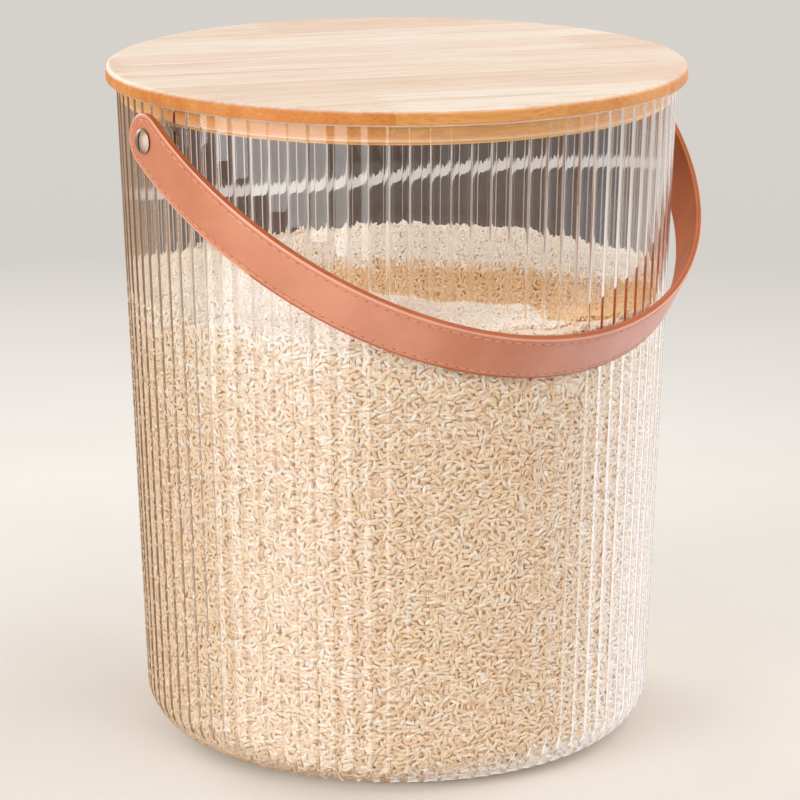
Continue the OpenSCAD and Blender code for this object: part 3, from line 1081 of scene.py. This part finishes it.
def stage():
    """A pale round floor that fades into the backdrop."""
    columns = 96
    radii = [FLOOR_R * share for share in (0.25, 0.5, 0.75, 1.0)]
    points = [(0, 0, 0)] + [(r * cos, r * sin, 0) for r in radii for cos, sin in circle(columns)]
    faces = [(0, 1 + i, 1 + j) for i, j in around(columns)]
    for ring in range(1, len(radii)):
        low, high = 1 + (ring - 1) * columns, 1 + ring * columns
        faces += [(low + i, high + i, high + j, low + j) for i, j in around(columns)]
    material, g = new_material("floor")
    place = g.object_place()
    shade = g.mix(g.noise(place, 9, detail=3), srgb(232, 230, 226), srgb(226, 223, 218))
    paper = g.principled(Base_Color=shade, Roughness=0.7, Specular_IOR_Level=0.2)
    in_gloss = g.add("ShaderNodeLightPath").outputs["Is Glossy Ray"]
    open_share = g.math("MAXIMUM", g.fade(g.from_z(place), 0.42, 0.98), in_gloss)
    g.finish(g.mix_shader(open_share, paper, g.see_through()))
    floor = add_object("floor", mesh_from_lists("floor", points, faces), [material])


def band():
    """A thin glowing strip behind the bin, painted light that only shows through the clear wall."""
    steps = 260
    points = []
    for i in range(steps + 1):
        across = BAND_W * (i / steps - 0.5)
        middle = BAND_Z + BAND_LIFT * math.tanh(across / BAND_EASE)
        wave = 1.3 * MM * math.sin(across * 700) + 0.9 * MM * math.sin(across * 1730 + 1)
        for side in (-1, 1):
            height = middle + side * BAND_HALF + wave * (0.5 + 0.3 * side)
            points.append(TO_RIGHT * across + AWAY * BAND_BEHIND + UP * height)
    faces = [(2 * i, 2 * i + 2, 2 * i + 3, 2 * i + 1) for i in range(steps)]
    material, g = new_material("band")
    # Painted light: the strip glows though it is no lamp, and only rays through the clear wall see it.
    glow = g.node("ShaderNodeEmission", {"Color": srgb(214, 205, 198)})
    behind_glass = g.add("ShaderNodeLightPath").outputs["Is Transmission Ray"]
    g.finish(g.mix_shader(behind_glass, g.see_through(), glow))
    add_object("band", mesh_from_lists("band", points, faces), [material])


def step_up(g, angle, start, end):
    """A smooth step from 0 to 1 between two angles in degrees."""
    inputs = {"Value": angle, "From Min": math.radians(start), "From Max": math.radians(end)}
    return g.node("ShaderNodeMapRange", inputs, interpolation_type="SMOOTHSTEP")


def arc_share(g, turn, start, end, soft):
    """1 where a bearing lies between two bearings, in degrees, with soft ends."""
    return g.math("SUBTRACT", step_up(g, turn, start - soft, start + soft),
                  step_up(g, turn, end - soft, end + soft))


def with_arcs(g, bearing, colour, *arcs):
    """A colour with arcs of other colours laid over it, each given as start, end, softness and colour."""
    for start, end, soft, arc_colour in arcs:
        colour = g.mix(arc_share(g, bearing, start, end, soft), colour, arc_colour)
    return colour


def world():
    """Even light for matt surfaces, and pale and dark zones all round for gloss and for the clear wall.

    Bearings are in degrees to the right of the photograph's side. What shows through the clear wall
    repeats on the opposite side."""
    sky = bpy.data.worlds.new("studio")
    bpy.context.scene.world = sky
    sky.use_nodes = True
    g = Nodes(sky.node_tree)
    direction = g.vector("NORMALIZE", g.add("ShaderNodeTexCoord").outputs["Generated"])
    parts = g.split(direction)
    angle = g.math("ARCTAN2", parts["Y"], parts["X"])
    bearing = g.math("SUBTRACT", angle, CAMERA_AZIMUTH - math.pi / 2)
    bearing = g.math("WRAP", bearing, math.pi, -math.pi)
    turn = g.math("WRAP", bearing, math.pi / 2, -math.pi / 2)
    rise = g.math("ARCSINE", parts["Z"])
    above = step_up(g, rise, -2, 25)
    high = step_up(g, rise, -19, -12.5)

    through = with_arcs(g, turn, srgb(176, 154, 138),
                        (22, 92, 4, srgb(192, 154, 124)),
                        (6, 22, 3, srgb(222, 212, 206)),
                        (-8, 5, 3, srgb(80, 69, 65)),
                        (*PANEL_BEARINGS, 1.5, srgb(208, 195, 186)))
    through = g.mix(above, through, srgb(225, 220, 214))
    shine = with_arcs(g, bearing, srgb(188, 154, 124),
                      (-21, 98, 6, srgb(112, 100, 92)),
                      (*COOL_BEARINGS, 5, COOL_GLOW),
                      (*PANEL_BEARINGS, 1.5, g.mix(high, *map(grey, PANEL_GLOW))),
                      (*BACK_BEARINGS, 3, grey(BACK_GLOW)),
                      (*SIDE_BEARINGS, 3, g.mix(high, *SIDE_GLOW)))
    shine = g.mix(above, shine, srgb(215, 210, 204))
    pale_line = g.mix(step_up(g, rise, -12, -8), (1.02, 0.94, 0.86, 1), srgb(196, 183, 174))
    brown_line = g.mix(step_up(g, bearing, -128, -108), srgb(116, 80, 52), srgb(166, 134, 106))
    freed = with_arcs(g, bearing, brown_line, (30, 178, 8, srgb(204, 190, 180)), (70, 126, 6, pale_line))
    path = g.add("ShaderNodeLightPath").outputs
    shine = g.mix(g.math("GREATER_THAN", path["Ray Depth"], TRAPPED_DEPTH), shine, freed)
    backdrop = g.ramp(g.math("ADD", g.math("MULTIPLY", parts["Z"], 0.5), 0.5),
                      (0.30, srgb(208, 203, 197)), (0.60, srgb(222, 218, 213)))
    shown = g.mix(path["Is Transmission Ray"], g.mix(path["Is Camera Ray"], shine, backdrop), through)
    looked_at = g.math("MAXIMUM", path["Is Camera Ray"],
                       g.math("MAXIMUM", path["Is Glossy Ray"], path["Is Transmission Ray"]))
    seen = g.node("ShaderNodeBackground", {"Color": shown})
    light = g.node("ShaderNodeBackground", {"Color": (1.0, 0.97, 0.94, 1), "Strength": 0.42})
    g.finish(g.mix_shader(looked_at, light, seen), kind="ShaderNodeOutputWorld")


def lamp(name, bearing, elevation, distance, size, watts, colour):
    """A soft box at a bearing from the camera's side of the object, in degrees to the right."""
    toward, lift = math.radians(bearing), math.radians(elevation)
    level = -AWAY * math.cos(toward) + TO_RIGHT * math.sin(toward)
    data = bpy.data.lights.new(name, "AREA")
    data.shape = "RECTANGLE"
    data.size, data.size_y = size
    data.energy = watts
    data.color = colour
    light = linked(name, data)
    light.location = MIDDLE + (level * math.cos(lift) + UP * math.sin(lift)) * distance
    light.rotation_euler = (MIDDLE - light.location).to_track_quat("-Z", "Y").to_euler()


def lamps():
    """A ring of low soft boxes, which reach the rice under the lid, and a soft top light."""
    lamp("key", -48, 24, 1.9, (1.1, 0.8), 17.0, (1.0, 0.975, 0.945))
    lamp("fill", 38, 26, 1.9, (1.1, 0.8), 7.5, (1.0, 0.975, 0.95))
    lamp("side", 114, 20, 1.7, (1.5, 1.0), 11.5, (1.0, 0.985, 0.97))
    lamp("rear", -140, 19, 1.7, (1.0, 0.6), 13.0, (1.0, 0.985, 0.97))
    lamp("top", 70, 66, 1.8, (1.2, 0.9), 8.0, (1.0, 0.985, 0.96))


def camera():
    data = bpy.data.cameras.new("camera")
    view = linked("camera", data)
    flat = math.cos(CAMERA_ELEVATION)
    back = Vector((RIGHT_Y * flat, -RIGHT_X * flat, math.sin(CAMERA_ELEVATION)))
    view.location = MIDDLE + back * CAMERA_DISTANCE
    view.rotation_euler = back.to_track_quat("Z", "Y").to_euler()
    data.sensor_width = SENSOR_MM
    data.lens = FOCAL_PX / FRAME_PX * data.sensor_width
    data.shift_x = (FRAME_PX / 2 - CENTRE_PX[0]) / FRAME_PX
    data.shift_y = (CENTRE_PX[1] - FRAME_PX / 2) / FRAME_PX
    data.clip_end = 50
    bpy.context.scene.camera = view


camera()
stage()
band()
world()
lamps()
drum(clear_plastic())
rice()
lid()
strap()
fittings()

bpy.context.scene.view_settings.view_transform = "Standard"
